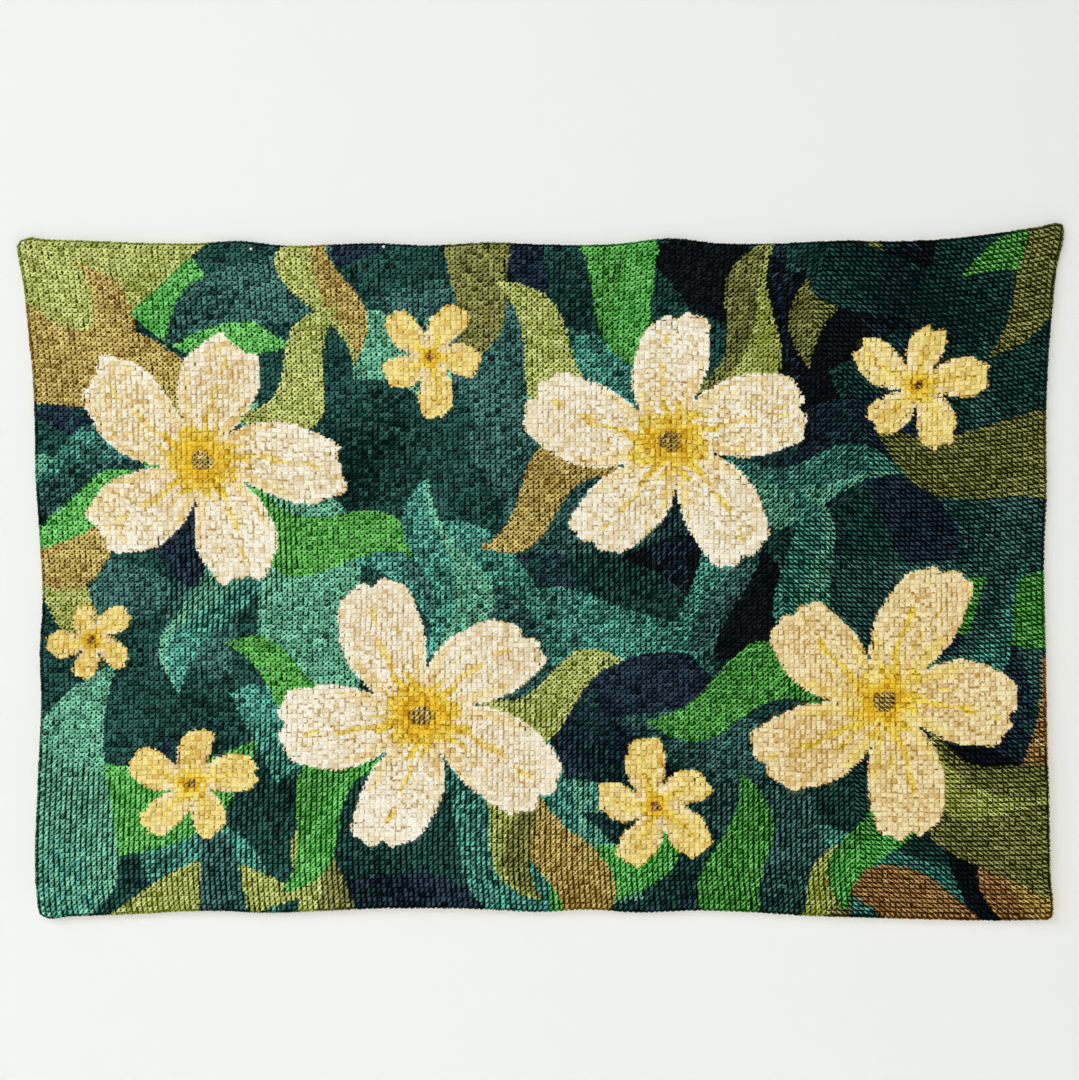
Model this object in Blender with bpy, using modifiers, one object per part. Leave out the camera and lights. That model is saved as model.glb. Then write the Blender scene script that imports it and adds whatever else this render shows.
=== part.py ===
"""Wall tapestry with its three hanging nails, as it hangs.

The cloth is wool cross stitch worked over rug canvas, and the canvas is turned
to the back all round as a hem. It hangs by its top edge with its worked face
towards -Y, a few millimetres in front of the wall plane y = 0. Three nails go
through the top hem and on into the wall. The origin is on the wall plane, at
the middle of the top edge. X runs to the right and Z runs up.
"""

from collections import namedtuple
from math import cos, pi, radians, sin

import bpy
import numpy as np

MM = 0.001  # the tables below are in millimetres, and the model is in metres

# The cloth's two thicknesses: wool through canvas, and the same over the hem
CLOTH_THICKNESS = 4.0
HEM_THICKNESS = 5.6
HEM_WIDTH = 28.0
HEM_SLOPE = 1.5  # the hem's inner edge is a step this wide
RIM_ROUNDING = 1.4
CELL = 28.0  # size of the cloth's even cells, inside the hem
RIM_LINES = (0.0, 7.0, 15.0)  # finer cells where the edge rolls back

# The outline, as a soft curve through these points on each side
Across = namedtuple("Across", "x z")
Down = namedtuple("Down", "depth x")

TOP_EDGE = (
    Across(-520.5, 2.0),
    Across(-514.0, 5.0),
    Across(-493.0, 4.0),
    Across(-461.0, 3.0),
    Across(-413.0, 1.0),
    Across(-349.0, 0.0),
    Across(-293.0, 2.0),
    Across(-269.0, -1.0),
    Across(-157.0, 0.0),
    Across(-117.0, -2.0),
    Across(-44.0, 1.0),
    Across(-1.0, -1.0),
    Across(69.0, -1.0),
    Across(131.0, 5.0),
    Across(179.0, 0.0),
    Across(234.0, 0.0),
    Across(314.0, 3.0),
    Across(349.0, 2.0),
    Across(419.0, 6.0),
    Across(467.0, 12.0),
    Across(499.0, 17.0),
    Across(517.0, 20.0),
    Across(522.0, 18.0),
)
BOTTOM_EDGE = (
    Across(-500.0, -670.0),
    Across(-493.0, -674.0),
    Across(-473.0, -673.0),
    Across(-421.0, -671.0),
    Across(-313.0, -667.5),
    Across(-281.0, -669.0),
    Across(-211.0, -667.0),
    Across(-169.0, -665.0),
    Across(-73.0, -665.0),
    Across(7.0, -668.0),
    Across(39.0, -666.0),
    Across(103.0, -669.0),
    Across(151.0, -667.0),
    Across(215.0, -669.0),
    Across(263.0, -672.0),
    Across(327.0, -674.0),
    Across(391.0, -676.0),
    Across(485.0, -676.5),
    Across(501.0, -676.0),
    Across(509.0, -674.0),
)
LEFT_EDGE = (
    Down(-2.0, -520.5),
    Down(4.0, -524.0),
    Down(13.0, -523.0),
    Down(33.0, -519.0),
    Down(93.0, -512.0),
    Down(133.0, -508.0),
    Down(173.0, -506.0),
    Down(233.0, -505.0),
    Down(293.0, -501.0),
    Down(363.0, -498.0),
    Down(403.0, -500.5),
    Down(457.0, -499.0),
    Down(533.0, -502.0),
    Down(653.0, -503.0),
    Down(662.0, -502.0),
    Down(670.0, -500.0),
)
RIGHT_EDGE = (
    Down(-18.0, 522.0),
    Down(-12.0, 523.0),
    Down(-1.0, 522.0),
    Down(19.0, 517.0),
    Down(59.0, 512.0),
    Down(119.0, 507.0),
    Down(169.0, 505.0),
    Down(259.0, 505.0),
    Down(299.0, 503.0),
    Down(419.0, 504.0),
    Down(499.0, 505.0),
    Down(559.0, 507.0),
    Down(639.0, 509.0),
    Down(659.0, 511.0),
    Down(668.0, 511.0),
    Down(674.0, 509.0),
)

# How far the cloth's back stands off the wall
WALL_GAP = 1.0  # least gap, where the top edge is held
BODY_GAP = 3.6  # gap under the top hem, which rolls back to the wall above
TOP_ROLL = 9.0  # depth over which the top edge rolls back
FOOT_LIFT = 4.5  # extra gap at the bottom edge
CLOTH_DROP = 670.0

# Each point where the top edge is held pulls the cloth back to the wall
HeldAt = namedtuple("HeldAt", "x half_width depth pull")
HELD = (
    HeldAt(-514.0, 26.0, 60.0, 1.8),
    HeldAt(-289.3, 30.0, 55.0, 1.8),
    HeldAt(-157.0, 28.0, 45.0, 1.4),
    HeldAt(-44.0, 30.0, 50.0, 1.4),
    HeldAt(131.0, 30.0, 60.0, 1.8),
    HeldAt(314.0, 34.0, 55.0, 1.6),
    HeldAt(517.0, 26.0, 70.0, 2.0),
)

# Long soft folds: a ridge along each line, fading out at both of its ends
Fold = namedtuple("Fold", "x1 z1 x2 z2 height half_width")
FOLDS = (
    Fold(330.0, 20.0, 140.0, -120.0, 3.0, 18.0),
    Fold(515.0, -40.0, 330.0, -260.0, 1.8, 26.0),
    Fold(-500.0, -20.0, -330.0, -150.0, 1.6, 24.0),
    Fold(-500.0, -60.0, -455.0, -330.0, 1.4, 22.0),
    Fold(-220.0, -20.0, -235.0, -330.0, 1.2, 34.0),
    Fold(40.0, -20.0, 25.0, -300.0, 1.3, 34.0),
    Fold(225.0, -20.0, 250.0, -320.0, 1.4, 36.0),
    Fold(512.0, -330.0, 506.0, -690.0, 3.2, 26.0),
    Fold(-506.0, -380.0, -508.0, -690.0, 1.6, 24.0),
    Fold(-313.0, -690.0, -313.0, -520.0, -2.0, 40.0),
    Fold(-120.0, -690.0, -110.0, -500.0, 2.4, 60.0),
    Fold(103.0, -690.0, 110.0, -540.0, -1.8, 34.0),
    Fold(330.0, -690.0, 300.0, -470.0, 2.2, 60.0),
)

# The nails: small domed heads, on shanks that run on behind the wall plane
NailAt = namedtuple("NailAt", "x z")
NAILS = (
    NailAt(-516.5, -0.5),
    NailAt(-289.3, -6.7),
    NailAt(-157.0, -4.5),
)
HEAD_RADIUS = 1.6
HEAD_HEIGHT = 1.1
SHANK_RADIUS = 0.7
SHANK_BEHIND_WALL = 15.0
POINT_LENGTH = 3.0
CLEARANCE = 0.3  # between nail and cloth, on every side
NAIL_SIDES = 16
DOME_STEPS = 4


def curve_through(knots, at):
    """Height of a soft curve: cubic pieces with one shared slope at each knot."""
    place, height = np.array(knots).T
    slope = np.gradient(height, place)
    piece = np.clip(np.searchsorted(place, at) - 1, 0, len(place) - 2)
    length = place[piece + 1] - place[piece]
    part = (at - place[piece]) / length
    rest = 1 - part
    return (
        height[piece] * rest**2 * (1 + 2 * part)
        + height[piece + 1] * part**2 * (1 + 2 * rest)
        + slope[piece] * length * part * rest**2
        - slope[piece + 1] * length * part**2 * rest
    )


def edge_across(knots, s):
    """Points of the top or bottom edge, at the shares s of its width."""
    x = knots[0].x + s * (knots[-1].x - knots[0].x)
    return np.array([x, curve_through(knots, x)])


def edge_down(knots, t):
    """Points of the left or right edge, at the shares t of its height."""
    depth = knots[0].depth + t * (knots[-1].depth - knots[0].depth)
    return np.array([curve_through(knots, depth), -depth])


def outline_patch(s, t):
    """Place x, z of the cloth at share s across and t down.

    A Coons patch: the two edge pairs are blended, and the corners, which
    both blends hold, are taken off once.
    """
    top, bottom = edge_across(TOP_EDGE, s), edge_across(BOTTOM_EDGE, s)
    left, right = edge_down(LEFT_EDGE, t), edge_down(RIGHT_EDGE, t)
    corners = np.array([TOP_EDGE[0], TOP_EDGE[-1], BOTTOM_EDGE[0], BOTTOM_EDGE[-1]])[:, :, None]
    blend = (1 - t) * top + t * bottom + (1 - s) * left + s * right
    upper = (1 - s) * corners[0] + s * corners[1]
    lower = (1 - s) * corners[2] + s * corners[3]
    return blend - (1 - t) * upper - t * lower


def fold_height(fold, x, z):
    """Ridge of one fold: a bell curve across its line, and a half sine along it."""
    run = np.array([fold.x2 - fold.x1, fold.z2 - fold.z1])
    length = np.hypot(*run)
    along = ((x - fold.x1) * run[0] + (z - fold.z1) * run[1]) / length**2
    aside = ((x - fold.x1) * run[1] - (z - fold.z1) * run[0]) / length
    fade = np.sin(pi * np.clip(along, 0, 1))
    return fold.height * fade * np.exp(-((aside / fold.half_width) ** 2))


def wall_gap(x, z):
    """Gap between the wall and the cloth's back at x, z, in millimetres."""
    depth = np.maximum(curve_through(TOP_EDGE, x) - z, 0)
    gap = BODY_GAP + FOOT_LIFT * (depth / CLOTH_DROP) ** 2
    gap = gap + sum(fold_height(fold, x, z) for fold in FOLDS)
    for held in HELD:
        near = np.exp(-(((x - held.x) / held.half_width) ** 2) - depth / held.depth)
        gap = gap - held.pull * near
    gap = gap - (BODY_GAP - WALL_GAP) * np.exp(-depth / TOP_ROLL)
    return np.maximum(gap, WALL_GAP / 2)


def front_of_cloth(x, z):
    """Y of the worked face over the hem at x, z, in millimetres."""
    return -wall_gap(x, z) - HEM_THICKNESS


def cloth_lines(length):
    """Shares of the cloth's length at which the lines of its grid lie."""
    hem = RIM_LINES + (HEM_WIDTH, HEM_WIDTH + HEM_SLOPE)
    inside = length - 2 * hem[-1]
    count = round(inside / CELL)
    middle = [hem[-1] + inside * i / count for i in range(1, count)]
    far = [length - place for place in reversed(hem)]
    return np.array([*hem, *middle, *far]) / length


def new_collection(name):
    collection = bpy.data.collections.new(name)
    bpy.context.scene.collection.children.link(collection)
    return collection


def put_in(collection, thing):
    for old in thing.users_collection:
        old.objects.unlink(thing)
    collection.objects.link(thing)


def plain_material(name, colour, roughness, metallic=0.0):
    material = bpy.data.materials.new(name)
    material.use_nodes = True
    shader = material.node_tree.nodes["Principled BSDF"]
    shader.inputs["Base Color"].default_value = (*colour, 1.0)
    shader.inputs["Roughness"].default_value = roughness
    shader.inputs["Metallic"].default_value = metallic
    material.diffuse_color = (*colour, 1.0)
    return material


def make_cloth(collection):
    """The worked sheet: a grid on the outline and folds, thickened to the back."""
    width = TOP_EDGE[-1].x - TOP_EDGE[0].x
    columns, rows = cloth_lines(width), cloth_lines(CLOTH_DROP)
    bpy.ops.mesh.primitive_grid_add(
        x_subdivisions=len(columns) - 1, y_subdivisions=len(rows) - 1, size=1
    )
    cloth = bpy.context.object
    cloth.name = "cloth"
    put_in(collection, cloth)

    flat = np.empty(len(cloth.data.vertices) * 3)
    cloth.data.vertices.foreach_get("co", flat)
    flat = flat.reshape(-1, 3)
    column = np.rint((flat[:, 0] + 0.5) * (len(columns) - 1)).astype(int)
    row = np.rint((0.5 - flat[:, 1]) * (len(rows) - 1)).astype(int)
    s, t = columns[column], rows[row]
    x, z = outline_patch(s, t)
    place = np.stack([x, front_of_cloth(x, z), z], axis=1) * MM
    cloth.data.vertices.foreach_set("co", place.ravel())

    from_rim = np.minimum(
        np.minimum(s, 1 - s) * width, np.minimum(t, 1 - t) * CLOTH_DROP
    )
    on_hem = from_rim < HEM_WIDTH + HEM_SLOPE / 2
    thickness = cloth.vertex_groups.new(name="thickness")
    thickness.add([int(i) for i in np.flatnonzero(on_hem)], 1.0, "REPLACE")
    thickness.add(
        [int(i) for i in np.flatnonzero(~on_hem)], CLOTH_THICKNESS / HEM_THICKNESS, "REPLACE"
    )

    body = cloth.modifiers.new("body", "SOLIDIFY")
    body.thickness = HEM_THICKNESS * MM
    body.offset = -1
    body.vertex_group = thickness.name
    rim = cloth.modifiers.new("rim", "BEVEL")
    rim.width = RIM_ROUNDING * MM
    rim.segments = 2
    rim.limit_method = "ANGLE"
    rim.angle_limit = radians(62)
    cloth.data.shade_smooth()
    cloth.data.materials.append(plain_material("wool on canvas", (0.05, 0.16, 0.11), 0.95))
    return cloth


def nail_profile(head_y, tip_y):
    """Half outline of a nail: domed head, shank and point, from top to tip."""
    dome = [
        (HEAD_RADIUS * sin(turn), HEAD_HEIGHT * cos(turn))
        for turn in (pi / 2 * i / DOME_STEPS for i in range(DOME_STEPS + 1))
    ]
    length = tip_y - head_y
    return dome + [
        (SHANK_RADIUS, 0.0),
        (SHANK_RADIUS, POINT_LENGTH - length),
        (0.0, -length),
    ]


def turned(name, profile, collection):
    """A profile of radius and height pairs, turned about Z."""
    mesh = bpy.data.meshes.new(name)
    points = [(radius * MM, 0.0, height * MM) for radius, height in profile]
    mesh.from_pydata(points, [(i, i + 1) for i in range(len(points) - 1)], [])
    thing = bpy.data.objects.new(name, mesh)
    collection.objects.link(thing)
    screw = thing.modifiers.new("turn", "SCREW")
    screw.steps = NAIL_SIDES
    screw.render_steps = NAIL_SIDES
    screw.use_merge_vertices = True
    screw.merge_threshold = 0.00001
    return thing


def head_seat(nail):
    """Y of a nail head's underside, clear of the cloth all round its rim."""
    turn = np.linspace(0, 2 * pi, NAIL_SIDES, endpoint=False)
    x = nail.x + HEAD_RADIUS * np.cos(turn)
    z = nail.z + HEAD_RADIUS * np.sin(turn)
    return float(front_of_cloth(x, z).min()) - CLEARANCE


def make_nail(number, nail, collection, steel):
    name = f"nail_{number}"
    head_y = head_seat(nail)
    thing = turned(name, nail_profile(head_y, SHANK_BEHIND_WALL), collection)
    thing.location = (nail.x * MM, head_y * MM, nail.z * MM)
    thing.rotation_euler = (pi / 2, 0, 0)
    thing.data.materials.append(steel)
    return thing


def pierce(cloth, nail, collection):
    """Cuts the hole that a nail's shank passes through, with its clearance."""
    bpy.ops.mesh.primitive_cylinder_add(
        vertices=NAIL_SIDES,
        radius=(SHANK_RADIUS + CLEARANCE) * MM,
        depth=40 * MM,
        location=(nail.x * MM, 0, nail.z * MM),
        rotation=(pi / 2, 0, 0),
    )
    cutter = bpy.context.object
    cutter.name = f"hole_{nail.x:.0f}"
    cutter.hide_render = True
    cutter.display_type = "WIRE"
    put_in(collection, cutter)
    hole = cloth.modifiers.new("nail hole", "BOOLEAN")
    hole.operation = "DIFFERENCE"
    hole.object = cutter


for old in list(bpy.data.objects):
    bpy.data.objects.remove(old)

parts = new_collection("wall tapestry")
cutters = new_collection("cutters")
cloth = make_cloth(parts)
steel = plain_material("bright steel", (0.78, 0.78, 0.76), 0.35, 1.0)
for number, nail in enumerate(NAILS, start=1):
    pierce(cloth, nail, cutters)
    make_nail(number, nail, parts, steel)
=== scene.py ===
"""Looks of a hung wall tapestry: wool cross stitch on canvas, three nails, wall."""

from collections import namedtuple

import bpy
import numpy as np
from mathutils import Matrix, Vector


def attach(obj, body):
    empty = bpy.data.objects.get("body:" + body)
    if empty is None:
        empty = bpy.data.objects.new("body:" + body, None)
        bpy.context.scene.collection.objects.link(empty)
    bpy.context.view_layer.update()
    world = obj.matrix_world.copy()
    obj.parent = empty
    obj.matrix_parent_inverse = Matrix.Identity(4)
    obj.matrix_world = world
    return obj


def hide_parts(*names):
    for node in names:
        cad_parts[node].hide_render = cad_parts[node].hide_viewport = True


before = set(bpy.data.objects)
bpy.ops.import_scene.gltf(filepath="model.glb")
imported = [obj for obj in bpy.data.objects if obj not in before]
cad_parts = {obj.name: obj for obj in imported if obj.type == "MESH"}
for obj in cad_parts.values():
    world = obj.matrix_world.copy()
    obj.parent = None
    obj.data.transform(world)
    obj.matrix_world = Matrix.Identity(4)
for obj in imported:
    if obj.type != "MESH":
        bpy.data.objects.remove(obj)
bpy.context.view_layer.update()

# Canvas. The tapestry hangs on its ground cloth: one sheet of cotton rug canvas,
# with five holes to the inch, turned to the back all round as a hem. Everything
# sewn on it is placed by its distances along the cloth, in millimetres.
MM = 0.001

# Knots of the outline: x and z on the top and bottom edges, depth and x on the sides
TOP_EDGE = (
    (-520.5, 2.0), (-514.0, 5.0), (-493.0, 4.0), (-461.0, 3.0),
    (-413.0, 1.0), (-349.0, 0.0), (-293.0, 2.0), (-269.0, -1.0),
    (-157.0, 0.0), (-117.0, -2.0), (-44.0, 1.0), (-1.0, -1.0),
    (69.0, -1.0), (131.0, 5.0), (179.0, 0.0), (234.0, 0.0),
    (314.0, 3.0), (349.0, 2.0), (419.0, 6.0), (467.0, 12.0),
    (499.0, 17.0), (517.0, 20.0), (522.0, 18.0),
)
BOTTOM_EDGE = (
    (-500.0, -670.0), (-493.0, -674.0), (-473.0, -673.0), (-421.0, -671.0),
    (-313.0, -667.5), (-281.0, -669.0), (-211.0, -667.0), (-169.0, -665.0),
    (-73.0, -665.0), (7.0, -668.0), (39.0, -666.0), (103.0, -669.0),
    (151.0, -667.0), (215.0, -669.0), (263.0, -672.0), (327.0, -674.0),
    (391.0, -676.0), (485.0, -676.5), (501.0, -676.0), (509.0, -674.0),
)
LEFT_EDGE = (
    (-2.0, -520.5), (4.0, -524.0), (13.0, -523.0), (33.0, -519.0),
    (93.0, -512.0), (133.0, -508.0), (173.0, -506.0), (233.0, -505.0),
    (293.0, -501.0), (363.0, -498.0), (403.0, -500.5), (457.0, -499.0),
    (533.0, -502.0), (653.0, -503.0), (662.0, -502.0), (670.0, -500.0),
)
RIGHT_EDGE = (
    (-18.0, 522.0), (-12.0, 523.0), (-1.0, 522.0), (19.0, 517.0),
    (59.0, 512.0), (119.0, 507.0), (169.0, 505.0), (259.0, 505.0),
    (299.0, 503.0), (419.0, 504.0), (499.0, 505.0), (559.0, 507.0),
    (639.0, 509.0), (659.0, 511.0), (668.0, 511.0), (674.0, 509.0),
)
HeldAt = namedtuple("HeldAt", "x half_width depth pull")
HELD = (
    HeldAt(-514.0, 26.0, 60.0, 1.8),
    HeldAt(-289.3, 30.0, 55.0, 1.8),
    HeldAt(-157.0, 28.0, 45.0, 1.4),
    HeldAt(-44.0, 30.0, 50.0, 1.4),
    HeldAt(131.0, 30.0, 60.0, 1.8),
    HeldAt(314.0, 34.0, 55.0, 1.6),
    HeldAt(517.0, 26.0, 70.0, 2.0),
)
Fold = namedtuple("Fold", "x1 z1 x2 z2 height half_width")
FOLDS = (
    Fold(330.0, 20.0, 140.0, -120.0, 3.0, 18.0),
    Fold(515.0, -40.0, 330.0, -260.0, 1.8, 26.0),
    Fold(-500.0, -20.0, -330.0, -150.0, 1.6, 24.0),
    Fold(-500.0, -60.0, -455.0, -330.0, 1.4, 22.0),
    Fold(-220.0, -20.0, -235.0, -330.0, 1.2, 34.0),
    Fold(40.0, -20.0, 25.0, -300.0, 1.3, 34.0),
    Fold(225.0, -20.0, 250.0, -320.0, 1.4, 36.0),
    Fold(512.0, -330.0, 506.0, -690.0, 3.2, 26.0),
    Fold(-506.0, -380.0, -508.0, -690.0, 1.6, 24.0),
    Fold(-313.0, -690.0, -313.0, -520.0, -2.0, 40.0),
    Fold(-120.0, -690.0, -110.0, -500.0, 2.4, 60.0),
    Fold(103.0, -690.0, 110.0, -540.0, -1.8, 34.0),
    Fold(330.0, -690.0, 300.0, -470.0, 2.2, 60.0),
)
WALL_GAP = 1.0
BODY_GAP = 3.6
TOP_ROLL = 9.0
FOOT_LIFT = 4.5
CLOTH_DROP = 670.0
HEM_THICKNESS = 5.6
HEM_WIDTH = 28.0
RIM_RADIUS = HEM_THICKNESS / 2
QUARTER_RIM = RIM_RADIUS * np.pi / 2
FLAT_WIDTH = 1005.0  # middling width and height between the rims, seen from the front
FLAT_HEIGHT = 668.0
CLOTH_WIDTH = FLAT_WIDTH + 2 * (QUARTER_RIM - RIM_RADIUS)  # the same, along the cloth
CLOTH_HEIGHT = FLAT_HEIGHT + 2 * (QUARTER_RIM - RIM_RADIUS)


def curve_through(knots, at):
    """Height of a soft curve: cubic pieces with one shared slope at each knot."""
    place, height = np.array(knots).T
    slope = np.gradient(height, place)
    piece = np.clip(np.searchsorted(place, at) - 1, 0, len(place) - 2)
    length = place[piece + 1] - place[piece]
    part = np.clip((at - place[piece]) / length, 0, 1)
    rest = 1 - part
    return (
        height[piece] * rest**2 * (1 + 2 * part)
        + height[piece + 1] * part**2 * (1 + 2 * rest)
        + slope[piece] * length * part * rest**2
        - slope[piece + 1] * length * part**2 * rest
    )


def edge_across(knots, s):
    x = knots[0][0] + s * (knots[-1][0] - knots[0][0])
    return np.array([x, curve_through(knots, x)])


def edge_down(knots, t):
    depth = knots[0][0] + t * (knots[-1][0] - knots[0][0])
    return np.array([curve_through(knots, depth), -depth])


def outline_patch(s, t):
    """Place x, z at share s across and t down: both edge pairs blended, corners once.

    The blends of the two pairs are added, and that of the four corners taken off.
    """
    top, bottom = edge_across(TOP_EDGE, s), edge_across(BOTTOM_EDGE, s)
    left, right = edge_down(LEFT_EDGE, t), edge_down(RIGHT_EDGE, t)
    ends = TOP_EDGE[0], TOP_EDGE[-1], BOTTOM_EDGE[0], BOTTOM_EDGE[-1]
    top_left, top_right, low_left, low_right = (
        np.array(end).reshape(2, *[1] * np.ndim(s)) for end in ends
    )
    blend = (1 - t) * top + t * bottom + (1 - s) * left + s * right
    upper = (1 - s) * top_left + s * top_right
    lower = (1 - s) * low_left + s * low_right
    return blend - (1 - t) * upper - t * lower


def fold_height(fold, x, z):
    """One soft fold: a bell curve across its line, and a half sine along it."""
    run = np.array([fold.x2 - fold.x1, fold.z2 - fold.z1])
    length = np.hypot(*run)
    along = ((x - fold.x1) * run[0] + (z - fold.z1) * run[1]) / length**2
    aside = ((x - fold.x1) * run[1] - (z - fold.z1) * run[0]) / length
    fade = np.sin(np.pi * np.clip(along, 0, 1))
    return fold.height * fade * np.exp(-((aside / fold.half_width) ** 2))


def wall_gap(x, z):
    """Gap behind the cloth: more towards its foot, folds added, held points taken off."""
    depth = np.maximum(curve_through(TOP_EDGE, x) - z, 0)
    gap = BODY_GAP + FOOT_LIFT * (depth / CLOTH_DROP) ** 2
    gap = gap + sum(fold_height(fold, x, z) for fold in FOLDS)
    for held in HELD:
        near = np.exp(-(((x - held.x) / held.half_width) ** 2) - depth / held.depth)
        gap = gap - held.pull * near
    gap = gap - (BODY_GAP - WALL_GAP) * np.exp(-depth / TOP_ROLL)
    return np.maximum(gap, WALL_GAP / 2)


def round_rim(along, height):
    """Inset and depth of a point at a distance along the cloth from its outer edge.

    The face bends round the rim as a half circle of RIM_RADIUS, and runs straight
    on before and after it. Height is out of the face.
    """
    turn = np.clip(along / RIM_RADIUS, -np.pi / 2, np.pi / 2)
    radius = RIM_RADIUS + height
    inset = RIM_RADIUS - radius * np.cos(turn) + np.maximum(np.abs(along) - QUARTER_RIM, 0)
    return inset, RIM_RADIUS - radius * np.sin(turn)


def on_cloth(across, down, height):
    """Points in metres at distances along the cloth's face and a height out of it.

    Distances below 0, or past the cloth's size, have gone round the rim to the back.
    There each side is squeezed towards its middle, so that the corners are mitred.
    """
    from_side = np.minimum(across, CLOTH_WIDTH - across)
    from_end = np.minimum(down, CLOTH_HEIGHT - down)
    back = np.maximum(-np.minimum(from_side, from_end), 0)
    at_side = from_side <= from_end

    def squeezed(place, full):
        return full / 2 + (place - full / 2) * (full / 2 - back) / (full / 2 + back)

    down = np.where(at_side, squeezed(down, CLOTH_HEIGHT), down)
    across = np.where(at_side, across, squeezed(across, CLOTH_WIDTH))
    left, depth_left = round_rim(across, height)
    right, depth_right = round_rim(CLOTH_WIDTH - across, height)
    top, depth_top = round_rim(down, height)
    foot, depth_foot = round_rim(CLOTH_HEIGHT - down, height)
    inset_x = np.where(across < CLOTH_WIDTH / 2, left, FLAT_WIDTH - right)
    inset_z = np.where(down < CLOTH_HEIGHT / 2, top, FLAT_HEIGHT - foot)
    depth = np.maximum.reduce([depth_left, depth_right, depth_top, depth_foot])
    s, t = np.clip(inset_x / FLAT_WIDTH, 0, 1), np.clip(inset_z / FLAT_HEIGHT, 0, 1)
    x, z = outline_patch(s, t)
    x = x + inset_x - s * FLAT_WIDTH
    z = z - inset_z + t * FLAT_HEIGHT
    y = depth - wall_gap(x, z) - HEM_THICKNESS
    return np.stack([x, y, z], axis=-1) * MM


def mesh_piece(name, points, faces, uv):
    """A smooth mesh from arrays of points, faces of equal size, and a place in its map."""
    mesh = bpy.data.meshes.new(name)
    mesh.vertices.add(len(points))
    mesh.vertices.foreach_set("co", points.astype(np.float32).ravel())
    mesh.loops.add(faces.size)
    mesh.loops.foreach_set("vertex_index", faces.astype(np.int32).ravel())
    mesh.polygons.add(len(faces))
    mesh.polygons.foreach_set("loop_start", np.arange(0, faces.size, faces.shape[1]))
    mesh.update(calc_edges=True)
    mesh.shade_smooth()
    layer = mesh.uv_layers.new(name="OFBake")
    layer.data.foreach_set("uv", uv[faces.ravel()].astype(np.float32).ravel())
    piece = bpy.data.objects.new(name, mesh)
    bpy.context.scene.collection.objects.link(piece)
    return piece


def add_shares(piece, name, shares):
    layer = piece.data.attributes.new(name, "FLOAT", "POINT")
    layer.data.foreach_set("value", shares.astype(np.float32))


def add_colours(piece, name, colours):
    layer = piece.data.attributes.new(name, "FLOAT_COLOR", "POINT")
    rgba = np.ones((len(colours), 4), np.float32)
    rgba[:, :3] = colours
    layer.data.foreach_set("color", rgba.ravel())


def linear(colour):
    """Linear light of a colour given in 0 to 255 screen values."""
    share = np.array(colour) / 255
    return np.where(share < 0.04045, share / 12.92, ((share + 0.055) / 1.055) ** 2.4)


def opaque(colour):
    return (*linear(colour), 1.0)


class Wire:
    """An output of a shader node. Sums and products of wires add their Math nodes."""

    def __init__(self, tree, socket=None):
        self.tree = tree
        self.socket = socket

    def node(self, kind, settings, sockets, output=0):
        """Adds a node: its settings first, then the values or wires of its sockets."""
        added = self.tree.nodes.new(kind)
        for name, setting in settings.items():
            setattr(added, name, setting)
        for name, value in sockets.items():
            if isinstance(value, Wire):
                self.tree.links.new(value.socket, added.inputs[name])
            else:
                added.inputs[name].default_value = value
        return Wire(self.tree, added.outputs[output])

    def sibling(self, output):
        """Another output of the same node."""
        return Wire(self.tree, self.socket.node.outputs[output])

    def place(self):
        """The place of a point on the piece, in metres in the shared frame."""
        return self.node("ShaderNodeTexCoord", {}, {}, output=3)

    def attribute(self, name, output):
        return self.node("ShaderNodeAttribute", {"attribute_name": name}, {}, output=output)

    def noise(self, scale, **more):
        """Noise from 0 to 1 over this place, with so many grains to a metre."""
        return self.node("ShaderNodeTexNoise", {}, {"Vector": self, "Scale": scale, **more})

    def bump(self, distance, **more):
        """A bump that rises with this wire, by so many millimetres from 0 to 1."""
        return self.node("ShaderNodeBump", {}, {"Distance": distance * MM, "Height": self, **more})

    def maths(self, operation, first, second):
        return self.node("ShaderNodeMath", {"operation": operation}, {0: first, 1: second})

    def mixed(self, share, first, second):
        """A colour between two colours."""
        return self.node(
            "ShaderNodeMix", {"data_type": "RGBA"}, {0: share, 6: first, 7: second}, output=2
        )

    def __add__(self, other):
        return self.maths("ADD", self, other)

    def __sub__(self, other):
        return self.maths("SUBTRACT", self, other)

    def __rsub__(self, other):
        return self.maths("SUBTRACT", other, self)

    def __mul__(self, other):
        return self.maths("MULTIPLY", self, other)

    __radd__ = __add__
    __rmul__ = __mul__


def new_surface(name):
    """A material with its shader, and a loose wire to start its maths from."""
    material = bpy.data.materials.new(name)
    material.use_nodes = True
    tree = material.node_tree
    return material, tree.nodes["Principled BSDF"], Wire(tree)


def feed(shader, **sockets):
    """Links wires to the shader's sockets, named with _ for a space."""
    for name, wire in sockets.items():
        wire.tree.links.new(wire.socket, shader.inputs[name.replace("_", " ")])


def sewn_on(piece, material):
    piece.data.materials.append(material)
    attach(piece, "root")


CANVAS_DEPTH = 1.7  # the wool stands this far out of the canvas
CANVAS_THICKNESS = 0.9
CANVAS_CELL = 10.5
HEM_TURN = 8.0  # distance behind the rim where the bare hem reaches its own depth
HEM_DEPTH = 0.1
HEM_LINES = (-19.0, -12.0, -HEM_TURN, -6.2)  # grid lines between the cut edge and the rim
RIM_LINES = (-1.0, -0.66, -0.33, 0.0, 0.33, 0.66, 1.0)  # shares of a quarter of the rim
BARE_START = 1.0  # distance behind the rim where the paint gives way to bare cotton
SOAKED = 0.3  # share of bare cotton behind the picture, where its paint has soaked through
THREAD_PITCH = 2.6  # canvas threads, two to a stitch
# The cotton's shaded and lit tones: painted shade between the threads and painted light on them
COTTON_SHADED = (120, 104, 78)
COTTON_LIT = (226, 214, 188)
DULL_GLOSS = 0.04  # specular level of the canvas and the wool


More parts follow.
